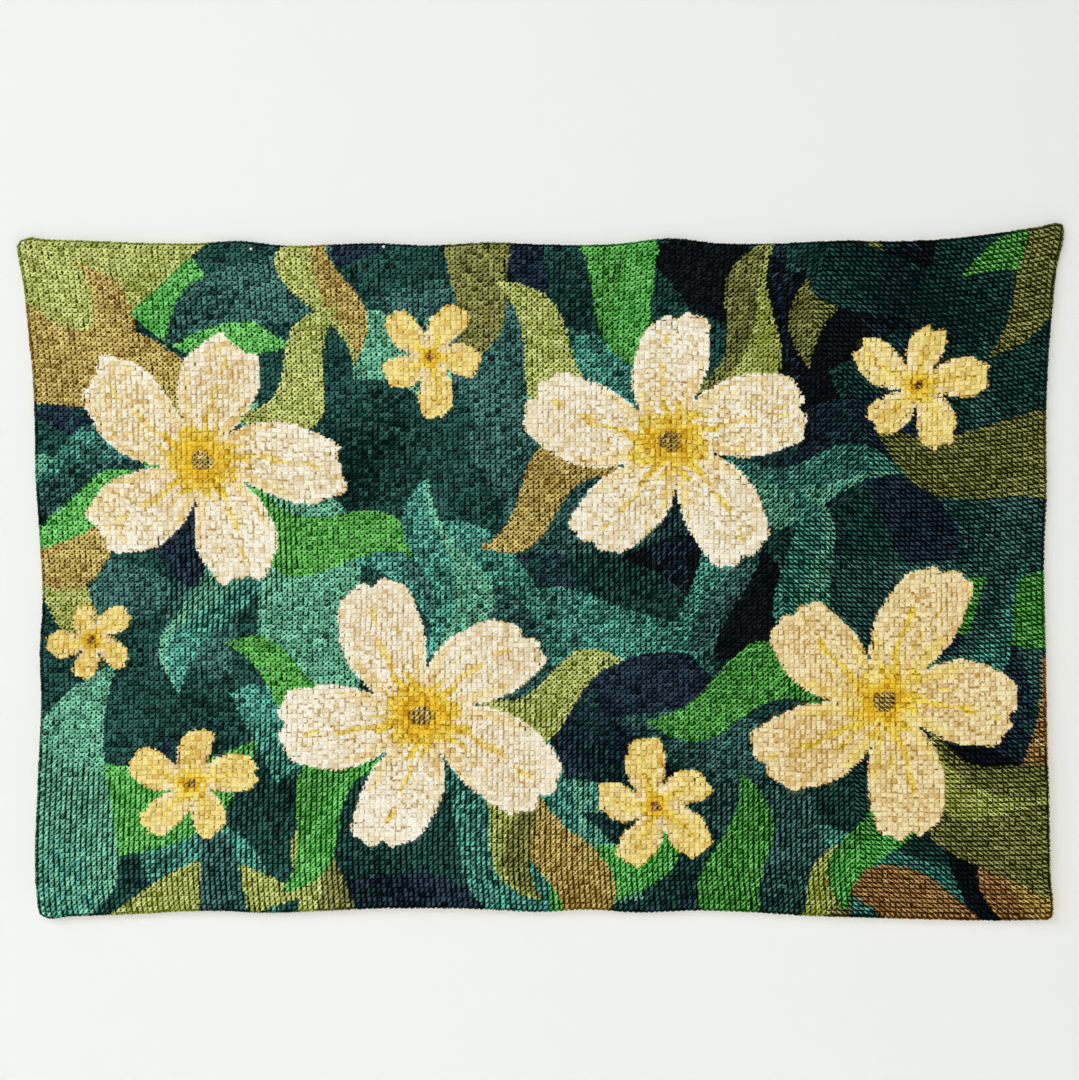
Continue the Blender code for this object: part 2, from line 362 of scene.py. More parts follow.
def canvas_lines(length):
    """Distances of the sheet's grid lines: close round the rim, even in between."""
    hem = QUARTER_RIM - RIM_RADIUS + HEM_WIDTH
    near = np.concatenate([[-hem, *HEM_LINES], QUARTER_RIM * np.array(RIM_LINES)])
    inside = length - 2 * near[-1]
    even = near[-1] + np.linspace(0, inside, round(inside / CANVAS_CELL) + 1)[1:-1]
    return np.concatenate([near, even, length - near[::-1]])


def grid_faces(rows, columns):
    """Quads of a grid of rows by columns of points, facing out of its front."""
    corner = np.arange(rows * columns).reshape(rows, columns)
    quads = corner[:-1, :-1], corner[1:, :-1], corner[1:, 1:], corner[:-1, 1:]
    return np.stack(quads, axis=-1).reshape(-1, 4)


def canvas_sheet():
    """The turned canvas as one closed sheet: outer face, inner face and cut border."""
    columns, rows = canvas_lines(CLOTH_WIDTH), canvas_lines(CLOTH_HEIGHT)
    across, down = np.meshgrid(columns, rows)
    behind = -np.minimum(
        np.minimum(across, CLOTH_WIDTH - across), np.minimum(down, CLOTH_HEIGHT - down)
    )
    turned = np.clip((behind - QUARTER_RIM) / (HEM_TURN - QUARTER_RIM), 0, 1)
    height = -CANVAS_DEPTH + (CANVAS_DEPTH - HEM_DEPTH) * turned
    outer = on_cloth(across, down, height).reshape(-1, 3)
    inner = on_cloth(across, down, height - CANVAS_THICKNESS).reshape(-1, 3)
    faces = grid_faces(len(rows), len(columns))
    count = len(outer)
    ring = np.arange(count).reshape(len(rows), len(columns))
    ring = np.concatenate([ring[0, :-1], ring[:-1, -1], ring[-1, :0:-1], ring[:0:-1, 0]])
    after = np.roll(ring, -1)
    border = np.stack([ring, after, after + count, ring + count], axis=-1)
    share = np.stack([across.ravel() - columns[0], rows[-1] - down.ravel()], axis=-1)
    share = share / [columns[-1] - columns[0], rows[-1] - rows[0]]
    left_half = share * [0.5, 1.0]
    uv = np.concatenate([left_half, left_half + [0.5, 0.0]])
    sheet = mesh_piece(
        "canvas",
        np.concatenate([outer, inner]),
        np.concatenate([faces, faces[:, ::-1] + count, border]),
        uv,
    )
    bare = np.clip(behind.ravel() - BARE_START, 0, 1)
    add_shares(sheet, "bare", np.append(bare, np.maximum(bare, SOAKED)))
    return sheet


def canvas_material():
    """Cotton threads crossing over and under, with painted shade between them; bare behind, and
    painted in front with the guide and its painted shade.
    """
    material, shader, start = new_surface("cotton canvas")
    paint = start.attribute("paint", 0)
    bare = start.attribute("bare", 2)
    place = start.place()
    x = start.node("ShaderNodeSeparateXYZ", {}, {0: place})
    z = x.sibling(2)
    turns = 2 * np.pi / (THREAD_PITCH * MM)
    warp = start.maths("SINE", x * turns, 0.0)
    weft = start.maths("SINE", z * turns, 0.0)
    thread = start.maths("MAXIMUM", warp, weft) * 0.5 + 0.5
    fluff = place.noise(900.0)
    tone = start.maths("MULTIPLY", thread, fluff + 0.5)
    cotton = start.mixed(tone, opaque(COTTON_SHADED), opaque(COTTON_LIT))
    colour = start.mixed(bare, paint, cotton)
    feed(shader, Base_Color=colour, Normal=tone.bump(0.6), Roughness=fluff * 0.15 + 0.8)
    shader.inputs["Specular IOR Level"].default_value = DULL_GLOSS
    return material


canvas = canvas_sheet()
sewn_on(canvas, canvas_material())
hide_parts("cloth")

# Picture. Each stitch takes its wool from a generic pattern: four big blossoms of
# five petals and a few small ones, waved leaves fanned out from the rim, and a ground
# of large dark leaves. Wools of near tones are mingled, arm by arm, as heather.
# Each wool has a lit colour, its painted highlight on top of a stitch, and a shaded one, its
# painted shade between the stitches
Wool = namedtuple("Wool", "name lit deep near")
WOOLS = (
    Wool("ivory", (255, 255, 246), (214, 184, 120), "blush"),
    Wool("blush", (255, 245, 204), (200, 156, 66), "maize"),
    Wool("maize", (255, 242, 168), (202, 158, 44), "blush"),
    Wool("straw", (255, 234, 112), (192, 146, 8), "maize"),
    Wool("gold", (255, 214, 64), (168, 112, 0), "straw"),
    Wool("lime", (160, 255, 146), (0, 108, 0), "lime"),
    Wool("grass", (144, 244, 124), (0, 70, 0), "grass"),
    Wool("olive", (248, 254, 168), (106, 118, 0), "olive"),
    Wool("moss", (206, 206, 124), (42, 46, 0), "moss"),
    Wool("ochre", (255, 236, 146), (110, 74, 0), "ochre"),
    Wool("rust", (250, 202, 134), (82, 46, 0), "ochre"),
    Wool("sea", (164, 255, 212), (0, 52, 36), "teal"),
    Wool("teal", (136, 242, 218), (0, 42, 34), "slate"),
    Wool("slate", (114, 180, 170), (0, 22, 22), "bottle"),
    Wool("bottle", (72, 132, 122), (0, 18, 17), "navy"),
    Wool("navy", (72, 98, 118), (0, 7, 15), "bottle"),
    Wool("ink", (36, 46, 52), (3, 5, 7), "navy"),
)
TONE = {wool.name: number for number, wool in enumerate(WOOLS)}
STITCH_WIDTH = 5.28  # aimed at: a whole number of columns and of rows fills the cloth
STITCH_HEIGHT = 4.66
COLUMNS = round(CLOTH_WIDTH / STITCH_WIDTH)
ROWS = round(CLOTH_HEIGHT / STITCH_HEIGHT)
chance = np.random.default_rng(7)

# Whole stitches, and one more on each side that goes round the rim
grid = np.meshgrid(np.arange(-1, COLUMNS + 1), np.arange(-1, ROWS + 1))
column, row = (numbers.ravel() for numbers in grid)
stitch_across = (column + 0.5) * CLOTH_WIDTH / COLUMNS
stitch_down = (row + 0.5) * CLOTH_HEIGHT / ROWS
stitch_x = stitch_across - CLOTH_WIDTH / 2
stitch_z = CLOTH_HEIGHT / 2 - stitch_down


def drift(x, z, size, start):
    """Soft hills and hollows between -1 and 1: three long waves that cross."""
    waves = (
        np.sin(x / size + 1.7 * np.sin(z / (1.6 * size) + start)),
        np.sin(z / size - 1.3 * np.sin(x / (1.4 * size) - start)),
        np.sin((x + z) / (1.3 * size) + 2 * start),
    )
    return sum(waves) / 3


Leaf = namedtuple("Leaf", "x z turn length width bend wave")
ROOT_PULL = 0.8
OUTSIDE = 9.0
PARTING_WAVE = 0.5
PARTING_PLACE = -0.1


def in_leaf(x, z, leaf):
    """Share along a pointed leaf, and share of its half width across, or OUTSIDE.

    The midrib bows aside by a half sine of bend, and by a whole sine of wave. The
    half width is a half sine of the share along, pulled towards the root.
    """
    away = np.array([x - leaf.x, z - leaf.z])
    along = (away[0] * np.cos(leaf.turn) + away[1] * np.sin(leaf.turn)) / leaf.length
    aside = away[1] * np.cos(leaf.turn) - away[0] * np.sin(leaf.turn)
    inside = np.clip(along, 0, 1)
    bow = leaf.bend * np.sin(np.pi * inside) + leaf.wave * np.sin(2 * np.pi * inside)
    half = leaf.width / 2 * np.sin(np.pi * inside**ROOT_PULL)
    across = (aside - leaf.length * bow) / np.maximum(half, 0.01)
    return along, np.where((along > 0) & (along < 1), across, OUTSIDE)


def paint_leaf(picture, x, z, leaf, left, right=None):
    """Sews a leaf in one tone, or in two that part at a waved line near its midrib."""
    along, across = in_leaf(x, z, leaf)
    picture = np.where(np.abs(across) < 1, TONE[left], picture)
    if right:
        part = PARTING_WAVE * np.sin(2 * np.pi * along) + PARTING_PLACE
        picture = np.where((across < part) & (across > -1), TONE[right], picture)
    return picture


GROUND_STEP = 124.0
GROUND_LEANS = (-0.8, 1.0)
GROUND_STRAY = 0.3
GROUND_LENGTH = (240.0, 340.0)
GROUND_WIDTH = 0.42  # share of the length
GROUND_BEND = 0.1
GROUND_WAVE = 0.08
DARKER_OVER_X = 300.0  # the next darker row of tones starts so far on to the right
DARKER_OVER_Z = 500.0  # or so far up
MIDDLE_TONES = 1.4
GROUND_TONES = (
    ("bottle", "navy", "teal", "bottle", "slate", "bottle", "sea"),
    ("bottle", "slate", "bottle", "navy", "bottle", "teal", "slate"),
    ("ink", "bottle", "navy", "slate", "ink", "navy", "bottle"),
)


def paint_ground(picture, x, z):
    """Large dark leaves on a staggered lattice, darker to the right and upwards."""
    rows = int(FLAT_HEIGHT / GROUND_STEP) + 3
    columns = int(FLAT_WIDTH / GROUND_STEP) + 3
    for j in range(rows):
        for i in range(columns):
            root_x = (i - columns / 2 + 0.5 * (j % 2)) * GROUND_STEP
            root_z = (rows / 2 - j - 1.0) * GROUND_STEP
            lean = GROUND_LEANS[(i + j) % 2]
            turn = np.pi / 2 - lean + chance.uniform(-GROUND_STRAY, GROUND_STRAY)
            length = chance.uniform(*GROUND_LENGTH)
            width, bend = GROUND_WIDTH * length, GROUND_BEND * lean
            darkness = root_x / DARKER_OVER_X + root_z / DARKER_OVER_Z + MIDDLE_TONES
            tones = GROUND_TONES[int(np.clip(darkness, 0, 2))]
            leaf = Leaf(root_x, root_z, turn, length, width, bend, GROUND_WAVE)
            picture = paint_leaf(picture, x, z, leaf, tones[(3 * i + 2 * j) % len(tones)])
    return picture


Petals = namedtuple("Petals", "wool crease flame heart")
PALE_PETALS = Petals("ivory", "blush", "maize", "ochre")
WARM_PETALS = Petals("blush", "maize", "straw", "ochre")
YELLOW_PETALS = Petals("maize", "blush", "straw", "rust")
Blossom = namedtuple("Blossom", "x z radius turn petals")
LARGE = (
    Blossom(-336.0, 116.0, 134.0, 0.2, PALE_PETALS),
    Blossom(-122.0, -140.0, 144.0, 0.9, PALE_PETALS),
    Blossom(128.0, 132.0, 138.0, 0.5, PALE_PETALS),
    Blossom(340.0, -120.0, 138.0, 0.1, WARM_PETALS),
)
SMALL = (
    Blossom(-350.0, -206.0, 62.0, 0.4, YELLOW_PETALS),
    Blossom(-108.0, 220.0, 56.0, 0.0, YELLOW_PETALS),
    Blossom(112.0, -228.0, 64.0, 0.7, YELLOW_PETALS),
    Blossom(374.0, 190.0, 66.0, 0.3, YELLOW_PETALS),
    Blossom(-450.0, -62.0, 42.0, 0.9, YELLOW_PETALS),
)
Spray = namedtuple("Spray", "x z turn spread length tones")
SPRAYS = (
    Spray(-560.0, 352.0, -0.36, 0.8, 300.0, (("ochre", None), ("lime", None), ("olive", None))),
    Spray(-560.0, 30.0, -0.1, 1.0, 190.0, (("olive", None), ("lime", "ochre"))),
    Spray(-560.0, -350.0, 0.6, 1.0, 290.0, (("olive", None), ("lime", None), ("sea", None))),
    Spray(-210.0, 370.0, -1.9, 1.0, 185.0, (("slate", None), ("ochre", "olive"))),
    Spray(-262.0, -375.0, 1.7, 0.9, 190.0, (("olive", "moss"), ("slate", None))),
    Spray(20.0, -375.0, 1.3, 0.9, 200.0, (("lime", None), ("ochre", None))),
    Spray(0.0, 375.0, -1.5, 1.1, 210.0, (("moss", None), ("lime", "grass"))),
    Spray(270.0, 380.0, -1.2, 0.8, 200.0, (("moss", None), ("bottle", None))),
    Spray(220.0, -375.0, 1.3, 0.8, 170.0, (("olive", "moss"), ("grass", None))),
    Spray(560.0, 350.0, 3.75, 0.5, 190.0, (("grass", None), ("moss", None))),
    Spray(560.0, 30.0, 3.1, 0.9, 220.0, (("moss", None), ("grass", None))),
    Spray(550.0, -380.0, 2.3, 1.1, 270.0, (("rust", "ochre"), ("moss", None), ("rust", None))),
)
SPRAY_LENGTH = (0.85, 1.2)  # shares of the spray's own length
SPRAY_WAVE = 0.1
LEAVES = 5  # round each large blossom, one between each two petals
LEAF_ROOT = 0.4  # share of the blossom's radius
LEAF_LENGTH = (150.0, 190.0)
LEAF_WIDTH = 0.34  # share of the length
LEAF_WAVE = 0.12
LEAF_TONES = (
    ("olive", None),
    ("lime", "grass"),
    ("teal", "sea"),
    ("ochre", None),
    ("moss", "olive"),
    ("grass", None),
    ("slate", "teal"),
)


def paint_leaves(picture, x, z):
    """Sprays of leaves from the rim, then a few leaves round each large blossom."""
    for number, spray in enumerate(SPRAYS):
        for i, tones in enumerate(spray.tones):
            turn = spray.turn + spray.spread * (i / (len(spray.tones) - 1) - 0.5)
            length = spray.length * chance.uniform(*SPRAY_LENGTH)
            wave = SPRAY_WAVE if (i + number) % 2 else -SPRAY_WAVE
            leaf = Leaf(spray.x, spray.z, turn, length, length * LEAF_WIDTH, wave, wave)
            picture = paint_leaf(picture, x, z, leaf, *tones)
    for number, flower in enumerate(LARGE):
        for i in range(LEAVES):
            turn = flower.turn + 2 * np.pi * (i + 0.5) / LEAVES
            root_x = flower.x + LEAF_ROOT * flower.radius * np.cos(turn)
            root_z = flower.z + LEAF_ROOT * flower.radius * np.sin(turn)
            length = chance.uniform(*LEAF_LENGTH)
            wave = LEAF_WAVE if i % 2 else -LEAF_WAVE
            leaf = Leaf(root_x, root_z, turn, length, length * LEAF_WIDTH, wave, wave)
            tones = LEAF_TONES[(2 * number + 3 * i) % len(LEAF_TONES)]
            picture = paint_leaf(picture, x, z, leaf, *tones)
    return picture


PETAL_COUNT = 5
PETAL_TWIST = 0.24
UNEVEN_TWICE = 0.07
UNEVEN_THRICE = 0.06
CLEFT = 0.26  # share of the radius to the cleft between two petals
PETAL = 0.76  # and from there to a petal's tip
PETAL_ROUNDNESS = 0.75
NOTCH_DEPTH = 0.08
NOTCH_HALF_WIDTH = 0.22
RIPPLE = 0.018
SHADING_MARGIN = 0.07  # of plain petal left round the shading
SHADING_WAVE = 0.03
CREASE_EDGE = 0.84
CREASE_WIDENING = 0.3
CREASE_TIP = 0.6
Streak = namedtuple("Streak", "aside widening tip waved")
FLAME = Streak(-0.12, 0.34, 0.82, 2.0)
RAY = Streak(0.46, 0.12, 0.74, 0.4)
Eye = namedtuple("Eye", "radius dip waved")
STRAW_EYE = Eye(0.32, 0.1, 2.0)
GOLD_EYE = Eye(0.19, 0.04, 1.0)
HEART = 0.08


def in_blossom(x, z, flower):
    """Share of the radius away from the heart, and how far aside of a petal's middle.

    The radius swells and shrinks by two slow waves round the heart, and the petals
    turn a little more the farther out they are. Aside is 0 in a petal's middle, and
    1 or -1 between two petals.
    """
    turn = np.arctan2(z - flower.z, x - flower.x) - flower.turn
    uneven = 1 + UNEVEN_TWICE * np.sin(2 * turn + flower.x)
    uneven = uneven + UNEVEN_THRICE * np.sin(3 * turn + flower.z)
    away = np.hypot(x - flower.x, z - flower.z) / (flower.radius * uneven)
    return away, np.sin((turn + PETAL_TWIST * away) * PETAL_COUNT / 2)


def paint_blossom(picture, x, z, flower):
    """A round blossom: its radius falls between the petals and at a notch in each tip.

    Warmer wools shade it in patches with waved outlines, inside a plain margin: a
    flame up the middle of a petal and a thin ray beside it, and a crease between two
    petals. All of them narrow towards their tips. Eyes of straw and gold lie round
    the heart, and dip in between two petals.
    """
    petals = flower.petals
    away, aside = in_blossom(x, z, flower)
    wave = SHADING_WAVE * np.sin(23 * away + 7 * aside + flower.x)
    ridge = np.sqrt(1 - aside**2)
    notch = NOTCH_DEPTH * np.exp(-((aside / NOTCH_HALF_WIDTH) ** 2))
    ripple = RIPPLE * np.sin(np.abs(aside) * 14 + flower.radius)
    edge = CLEFT + PETAL * ridge**PETAL_ROUNDNESS - notch + ripple
    inner = away < edge - SHADING_MARGIN
    reach = np.clip(CREASE_TIP - away, 0, 1)
    crease = inner & (np.abs(aside) > CREASE_EDGE - CREASE_WIDENING * reach + wave)

    def in_streak(streak):
        half = streak.widening * (streak.tip - away) + streak.waved * wave
        return inner & (np.abs(aside - streak.aside) < half)

    def in_eye(eye):
        return away < eye.radius - eye.dip * np.abs(aside) + eye.waved * wave

    picture = np.where(away < edge, TONE[petals.wool], picture)
    picture = np.where(crease, TONE[petals.crease], picture)
    picture = np.where(in_streak(FLAME) | in_streak(RAY), TONE[petals.flame], picture)
    picture = np.where(in_eye(STRAW_EYE), TONE["straw"], picture)
    picture = np.where(in_eye(GOLD_EYE), TONE["gold"], picture)
    return np.where(away < HEART, TONE[petals.heart], picture)


def paint_picture(x, z):
    picture = np.full(x.shape, TONE["bottle"])
    picture = paint_ground(picture, x, z)
    picture = paint_leaves(picture, x, z)
    for flower in (*SMALL, *LARGE):
        picture = paint_blossom(picture, x, z, flower)
    return picture


MINGLED = 0.5
MINGLE_FROM = 0.45
MINGLE_RISE = 3.0


def mingle(picture, x, z):
    """Swaps half of the arms for the near tone in streaks, where two drifts are high."""
    near = np.array([TONE[wool.near] for wool in WOOLS])
    hills = drift(2 * x, z / 2, 34.0, 0.4) + drift(x, z, 90.0, 2.0)
    share = MINGLED * np.clip(MINGLE_RISE * (hills - MINGLE_FROM), 0, 1)
    return np.where(chance.random(x.shape) < share, near[picture], picture)


# A stitch takes the commonest wool of the samples of its cell. Where they differ, on an
# outline, it is worked in quarters, each in the commonest wool of its own samples.
SAMPLES = 4
offset = (np.arange(SAMPLES) - (SAMPLES - 1) / 2) / SAMPLES
sample_x, sample_z = np.meshgrid(offset * STITCH_WIDTH, offset * STITCH_HEIGHT)
sample_x, sample_z = sample_x.ravel(), sample_z.ravel()
samples = paint_picture(stitch_x[:, None] + sample_x, stitch_z[:, None] + sample_z)


def commonest(samples):
    """The wool of most samples of each stitch, and the paler one of two that tie."""
    votes = [(samples == number).sum(axis=1) for number in range(len(WOOLS))]
    return np.stack(votes, axis=1).argmax(axis=1)


picture = commonest(samples)
whole = (samples == samples[:, :1]).all(axis=1)
quarters = {
    (i, j): commonest(samples[:, (sample_x * i > 0) & (sample_z * j > 0)])
    for i in (-1, 1)
    for j in (-1, 1)
}
under_wool = mingle(picture, stitch_x, stitch_z)
top_wool = mingle(picture, stitch_x, stitch_z)
pale = picture <= TONE["gold"]
dark = picture >= TONE["teal"]
# The guide is painted in the wools' shaded colours and darkened by these shares: painted shade in
# the gaps between the stitches
GAP_SHADE = 0.3  # of the guide's colours
PALE_GAP_SHADE = 0.8  # of its pale ones


def painted_canvas():
    """Colours of the guide painted on the canvas: the darkest of nine cells, darkened as painted
    shade between the stitches.
    """
    deep = np.array([linear(wool.deep) for wool in WOOLS])[picture]
    gap_shade = np.where(pale, PALE_GAP_SHADE, GAP_SHADE)
    cells = (deep * gap_shade[:, None]).reshape(ROWS + 2, COLUMNS + 2, 3)
    cells = np.pad(cells, ((1, 1), (1, 1), (0, 0)), "edge")
    rows, columns = np.arange(ROWS + 2), np.arange(COLUMNS + 2)
    shifts = [cells[rows + i][:, columns + j] for i in range(3) for j in range(3)]
    cells = np.minimum.reduce(shifts)
    column = np.floor(canvas_lines(CLOTH_WIDTH) / CLOTH_WIDTH * COLUMNS).astype(int) + 1
    row = np.floor(canvas_lines(CLOTH_HEIGHT) / CLOTH_HEIGHT * ROWS).astype(int) + 1
    cells = cells[np.clip(row, 0, ROWS + 1)]
    return cells[:, np.clip(column, 0, COLUMNS + 1)].reshape(-1, 3)


add_colours(canvas, "paint", np.tile(painted_canvas(), (2, 1)))

# Wool. Each stitch is a cross of rug wool over two canvas threads: an under arm,
# and a top arm across it. How the top arms lie is as the maker worked each part:
# upright in ribs, level in rows along the right, loose in the blossoms.
# The shade of each ring and rib is painted light: lit along an arm's middle, painted shade towards
# its ends and edges
Ring = namedtuple("Ring", "along width sink shade")
Rib = namedtuple("Rib", "aside drop shade")
TOP_RINGS = (
    Ring(-1.0, 0.8, 1.0, 0.0),
    Ring(-0.42, 1.0, 0.0, 1.0),
    Ring(0.42, 1.0, 0.0, 1.0),
    Ring(1.0, 0.8, 1.0, 0.0),
)
UNDER_RINGS = (
    Ring(-1.0, 0.8, 1.0, 0.0),
    Ring(-0.5, 1.0, 0.5, 1.0),
    Ring(0.5, 1.0, 0.5, 1.0),
    Ring(1.0, 0.8, 1.0, 0.0),
)
RIBS = (Rib(-1.0, 1.0, 0.0), Rib(0.0, 0.0, 1.0), Rib(1.0, 1.0, 0.0))
# edge, end and under are shares of painted light kept at an arm's edges, at its ends and on the
# under arm; tuck sinks the lower end and paints it darker as shade
Way = namedtuple("Way", "lean reach_x reach_y half_width loose uneven edge end under tuck")
WAYS = (
    Way(1.0, 0.95, 1.06, 1.1, 0.3, 0.14, 0.28, 0.5, 0.8, 0.55),  # crossed
    Way(1.0, 0.72, 1.04, 1.1, 0.25, 0.14, 0.22, 0.45, 0.5, 0.45),  # ribbed
    Way(-1.0, 0.96, 0.74, 0.96, 0.24, 0.14, 0.15, 0.3, 0.36, 0.2),  # level
    Way(1.0, 0.95, 1.06, 1.04, 0.3, 0.16, 0.3, 0.3, 0.75, 0.5),  # crossed, dark wools
    Way(1.0, 0.7, 1.04, 1.1, 0.25, 0.16, 0.3, 0.3, 0.5, 0.4),  # ribbed, dark wools
    Way(1.0, 1.0, 1.0, 1.7, 0.6, 0.17, 0.35, 0.4, 0.9, 0.25),  # nubbled, pale wools
    Way(1.0, 0.84, 1.05, 1.6, 0.4, 0.16, 0.25, 0.4, 0.8, 0.25),  # ribbed, pale wools
)
LEVEL_WAY = 2  # the row of WAYS for level work
DARK_WAYS = 3  # the first row for the dark wools
PALE_WAYS = 5  # the first row for the pale wools
PALE_RIBS = -0.1  # the drift below which pale wools are ribbed
RIBS_FROM = -100.0  # other wools are ribbed more and more from this height down
RIBS_FADE = 260.0
LEVEL_START = 290.0
LEVEL_WAVE = 80.0


def way_of_working(x, z):
    """The row of each stitch in the ways of working: by its wool, then by its place."""
    ribbed = drift(x, z, 55.0, 2.6) + (RIBS_FROM - z) / RIBS_FADE > 0
    level = x > LEVEL_START + LEVEL_WAVE * drift(x, z, 60.0, 0.3)
    ways = np.where(level, LEVEL_WAY, ribbed + DARK_WAYS * dark)
    return np.where(pale, PALE_WAYS + (drift(x, z, 42.0, 1.1) < PALE_RIBS), ways)


def beside(flags, reach):
    """Stitches with a flagged one at most so many rows and columns away."""
    grid = np.pad(flags.reshape(ROWS + 2, COLUMNS + 2), reach)
    span = range(2 * reach + 1)
    shifts = [grid[i : i + ROWS + 2, j : j + COLUMNS + 2] for i in span for j in span]
    return np.logical_or.reduce(shifts).ravel()


way = np.array(WAYS)[way_of_working(stitch_x, stitch_z)]
lean, reach_x, reach_y, half_width, loose, uneven, edge, end, under, tuck = way.T

# The outer rows of a blossom are worked close, so that no dark canvas shows in them
CLOSE_ROWS = 2
CLOSE_REACH = 1.0
CLOSE_LOOSE = 0.32
CLOSE_HALF_WIDTH = 2.1
close = pale & beside(~pale, CLOSE_ROWS)
reach_x = np.where(close, CLOSE_REACH, reach_x)
loose = np.where(close, CLOSE_LOOSE, loose)
half_width = np.where(close, CLOSE_HALF_WIDTH, half_width)

# Towards the right the other wools get ever more painted shade on their edges, their
# under arms and their tucked lower ends, and the stitches are narrower and tucked deeper
RIGHTWARD_FROM = -100.0
RIGHTWARD_OVER = 400.0
RIGHTWARD_TUCK = 0.3
RIGHTWARD_NARROWING = 0.1
RIGHTWARD_UNDER_SHADE = 0.35
rightward = np.where(pale, 0, np.clip((stitch_x - RIGHTWARD_FROM) / RIGHTWARD_OVER, 0, 1))
edge = edge * (1 - rightward)
tuck = tuck + RIGHTWARD_TUCK * rightward
half_width = half_width * (1 - RIGHTWARD_NARROWING * rightward)
under = under * (1 - RIGHTWARD_UNDER_SHADE * rightward)

# By hand no two stitches come out alike, and some loose ones cross the other way
LOOSE_FROM = 0.45
CROSSED_BACK = 0.4
UNEVEN_REACH_X = 0.16
UNEVEN_REACH_Y = 0.11
UNEVEN_WIDTH = 0.09
UNEVEN_TOP = 0.08
count = len(picture)
crossed_back = (loose > LOOSE_FROM) & (chance.random(count) < CROSSED_BACK)
lean = np.where(crossed_back, -lean, lean)
half_x = reach_x * CLOTH_WIDTH / COLUMNS / 2 * chance.normal(1, UNEVEN_REACH_X, count)
half_y = reach_y * CLOTH_HEIGHT / ROWS / 2 * chance.normal(1, UNEVEN_REACH_Y, count)
half_width = half_width * chance.normal(1, UNEVEN_WIDTH, count)
top = chance.normal(0, UNEVEN_TOP + loose / 3)
centre_across = stitch_across + chance.normal(0, loose)
centre_down = stitch_down + chance.normal(0, loose)

# Dye and wear: lighter and duller drifts, dark wools dulled most; and painted shade on the rim
DRIFT_TINT = 0.12
DARK_DULLING = 0.3
RIM_PAINTED_SHADE = 0.75  # on the stitches that go round the rim
NEAR_RIM_PAINTED_SHADE = 0.3  # and on those before them
inward = np.minimum.reduce([column, COLUMNS - 1 - column, row, ROWS - 1 - row])
tint = chance.normal(0, uneven) + DRIFT_TINT * drift(stitch_x, stitch_z, 24.0, 0.9)
tint = tint - DARK_DULLING * dark * np.clip(drift(stitch_x, stitch_z, 44.0, 1.9), 0, 1)
tint = tint - RIM_PAINTED_SHADE * (inward < 0) - NEAR_RIM_PAINTED_SHADE * (inward == 0)

# Low down on the right the last column stands off in a thin groove of its own, and is painted
# lighter as a highlight along it
GROOVE_TOP = -170.0
GROOVE_SHIFT = 0.9
GROOVE_NARROWING = 0.35
GROOVE_HIGHLIGHT = 0.35
apart = (column >= COLUMNS - 1) & (stitch_z < GROOVE_TOP)
centre_across = centre_across + GROOVE_SHIFT * apart
half_x = half_x * (1 - GROOVE_NARROWING * apart)
tint = tint + GROOVE_HIGHLIGHT * apart

FALL = 0.8  # of an arm's edges below its back, for each millimetre of half width
TUCK_DEPTH = 0.9  # how far a stitch's lower end lies below its upper one, at a full tuck
TINT_LIFT = 0.5
# Dark wools get narrower painted highlights, by this sharpening of their shade
DARK_SHARPNESS = 0.3


def arms(mine, turn, rings, light):
    """Points and shades of one arm of each chosen stitch, ring by ring along it.

    A ring lies at a share of the arm's half length, sunk at the ends. Its ribs lie
    at shares of the half width aside, and drop towards the two edges. The lower end
    is tucked under the row below, and painted darker as shade. The shades are
    painted light: lit along the arm's middle, painted shade at its ends and edges.
    """
    along, narrow, sink, ring_shade = np.array(rings).T[:, None, :, None]
    aside, drop, rib_shade = np.array(RIBS).T[:, None, None, :]

    def each(values):
        return values[mine][:, None, None]

    length = np.hypot(each(half_x), each(half_y))
    side = each(half_width) * narrow * aside
    east = along * each(half_x) + side * each(turn * half_y) / length
    south = side * each(half_x) / length - along * each(turn * half_y)
    low = 0.5 + 0.5 * south / each(half_y)
    height = each(top) - sink - FALL * drop * narrow * each(half_width)
    height = height - TUCK_DEPTH * each(tuck) * low
    lit_along = each(end) + (1 - each(end)) * ring_shade
    lit_aside = each(edge) + (1 - each(edge)) * rib_shade
    shade = each(light) * lit_along * lit_aside * (1 - each(tuck) * low)
    shade = shade * (1 + each(tint)) + TINT_LIFT * each(tint)
    shade = np.clip(shade, 0, 1) ** (1 + DARK_SHARPNESS * each(dark))
    return each(centre_across) + east, each(centre_down) + south, height, shade


def strip_faces(rings, ribs):
    corner = np.arange(rings * ribs).reshape(rings, ribs)
    quads = corner[:-1, :-1], corner[:-1, 1:], corner[1:, 1:], corner[1:, :-1]
    return np.stack(quads, axis=-1).reshape(-1, 4)


MAP_MARGIN = 8.0
FIBRE_SCALE = 1300.0


def chart(across, down, low, high):
    """Places in the piece's map, u across the cloth and v up it between two levels."""
    u = (across.ravel() + MAP_MARGIN) / (CLOTH_WIDTH + 2 * MAP_MARGIN)
    v = 1 - (down.ravel() + MAP_MARGIN) / (CLOTH_HEIGHT + 2 * MAP_MARGIN)
    return np.stack([u, low + (high - low) * v], axis=-1)


